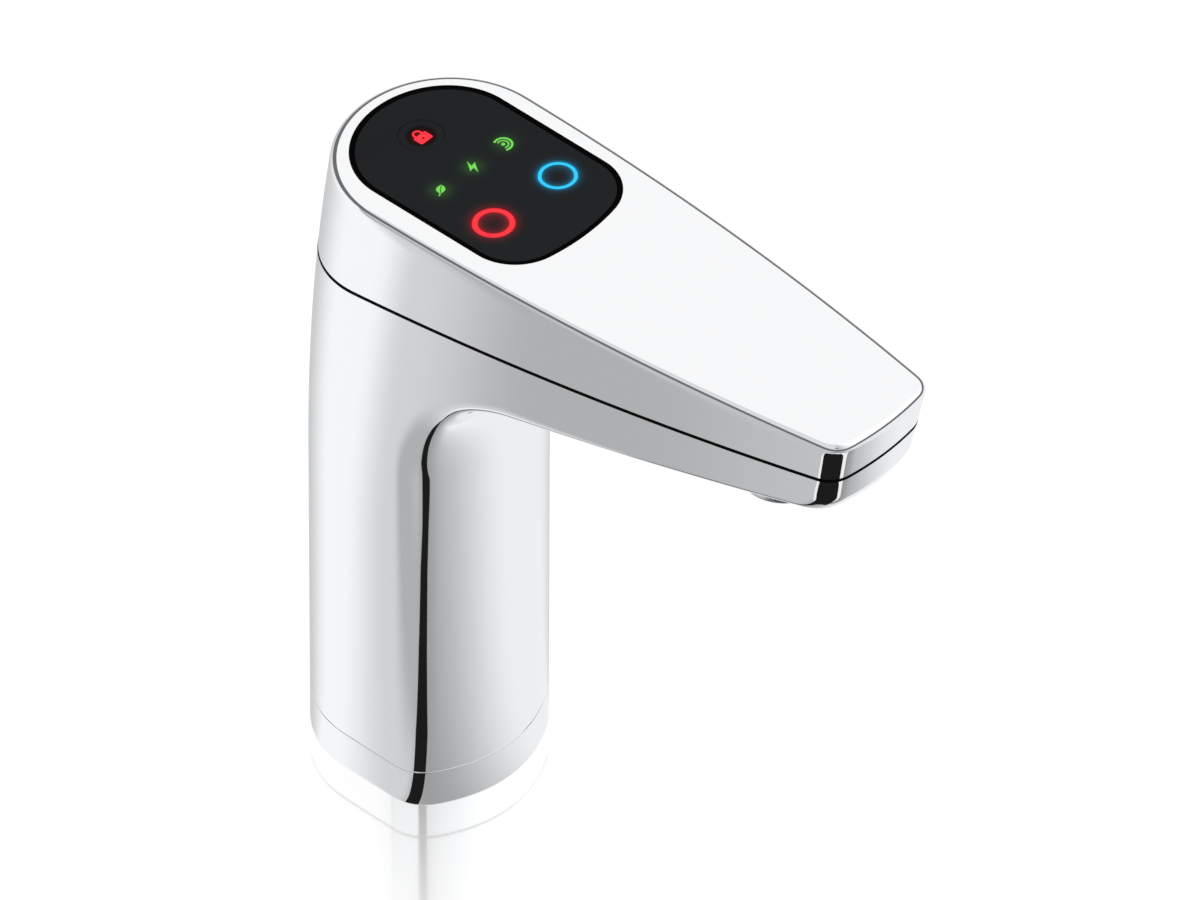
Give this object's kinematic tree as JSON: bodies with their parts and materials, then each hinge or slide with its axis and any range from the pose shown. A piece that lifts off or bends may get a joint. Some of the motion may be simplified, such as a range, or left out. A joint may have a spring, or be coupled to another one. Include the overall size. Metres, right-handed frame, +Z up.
{
  "type": "boiling water tap",
  "caption": "Deck-mounted boiling and chilled water tap with a swivelling column, wedge-shaped arm, touch keys and a light panel.",
  "frame": {"origin": "on the deck plane, on the axis that the tap swivels about", "axes": "+Z up out of the deck, the spout along -Y, X across"},
  "size_m": [0.0578, 0.1866, 0.2769],
  "materials": {
    "chrome": "bright polished chrome plating",
    "steel": "plain stainless steel",
    "brass": "machined brass",
    "rubber": "black rubber",
    "black_plastic": "moulded black plastic",
    "bearing_plastic": "natural acetal",
    "fascia_charcoal": "smooth charcoal panel",
    "fascia_rim_black": "black rim",
    "key_charcoal": "dished charcoal keys",
    "switch_black": "black component bodies",
    "circuit_board": "green solder mask",
    "pale_plastic": "pale moulded plastic",
    "led_white": "surface-mount lamps",
    "boiling_red": "lit red ring",
    "chilled_blue": "lit blue ring",
    "status_green": "lit green guides",
    "tube_plastic": "food-grade tube"
  },
  "bodies": {
    "base": {"base_ring": "chrome", "deck_gasket": "rubber", "mounting_shank": "brass", "friction_ring": "rubber", "retaining_clip": "steel", "rubber_washer": "rubber", "clamp_washer": "steel", "fixing_nut": "brass"},
    "spout": {"body_shell": "chrome", "top_cover": "chrome", "outlet_nozzle": "chrome", "board_screw_1": "steel", "board_screw_2": "steel", "board_screw_3": "steel", "board_screw_4": "steel", "seam_gasket": "rubber", "nozzle_seal": "rubber", "control_cable": "rubber", "swivel_sleeve": "black_plastic", "led_housing": "black_plastic", "tube_guide": "black_plastic", "arm_rib": "black_plastic", "outlet_manifold": "black_plastic", "sounder": "black_plastic", "lower_bush": "bearing_plastic", "upper_bush": "bearing_plastic", "touch_fascia": "fascia_charcoal", "fascia_seal": "fascia_rim_black", "lock_switch": "switch_black", "boiling_switch": "switch_black", "chilled_switch": "switch_black", "control_chip": "switch_black", "control_board": "circuit_board", "cable_socket": "pale_plastic", "flow_straightener": "pale_plastic", "leaf_led": "led_white", "bolt_led": "led_white", "signal_led": "led_white", "leaf_light_guide": "status_green", "bolt_light_guide": "status_green", "signal_light_guide": "status_green", "boiling_tube": "tube_plastic", "chilled_tube": "tube_plastic"},
    "lock_button": {"lock_key": "key_charcoal"},
    "boiling_button": {"boiling_key": "key_charcoal", "boiling_light_ring": "boiling_red"},
    "chilled_button": {"chilled_key": "key_charcoal", "chilled_light_ring": "chilled_blue"}
  },
  "joints": [
    {"name": "swivel", "type": "hinge", "parent": "base", "child": "spout", "pos_m": [0, 0, 0], "axis": [0, 0, 1], "range_deg": [-90, 90]},
    {"name": "lock_press", "type": "slide", "parent": "spout", "child": "lock_button", "axis": [0, -0.0401, -0.9992], "range_m": [0, 0.0005], "stiffness_N_per_m": 600, "springref_m": -0.0003},
    {"name": "boiling_press", "type": "slide", "parent": "spout", "child": "boiling_button", "axis": [0, -0.0401, -0.9992], "range_m": [0, 0.0005], "stiffness_N_per_m": 600, "springref_m": -0.0003},
    {"name": "chilled_press", "type": "slide", "parent": "spout", "child": "chilled_button", "axis": [0, -0.0401, -0.9992], "range_m": [0, 0.0005], "stiffness_N_per_m": 600, "springref_m": -0.0003}
  ]
}
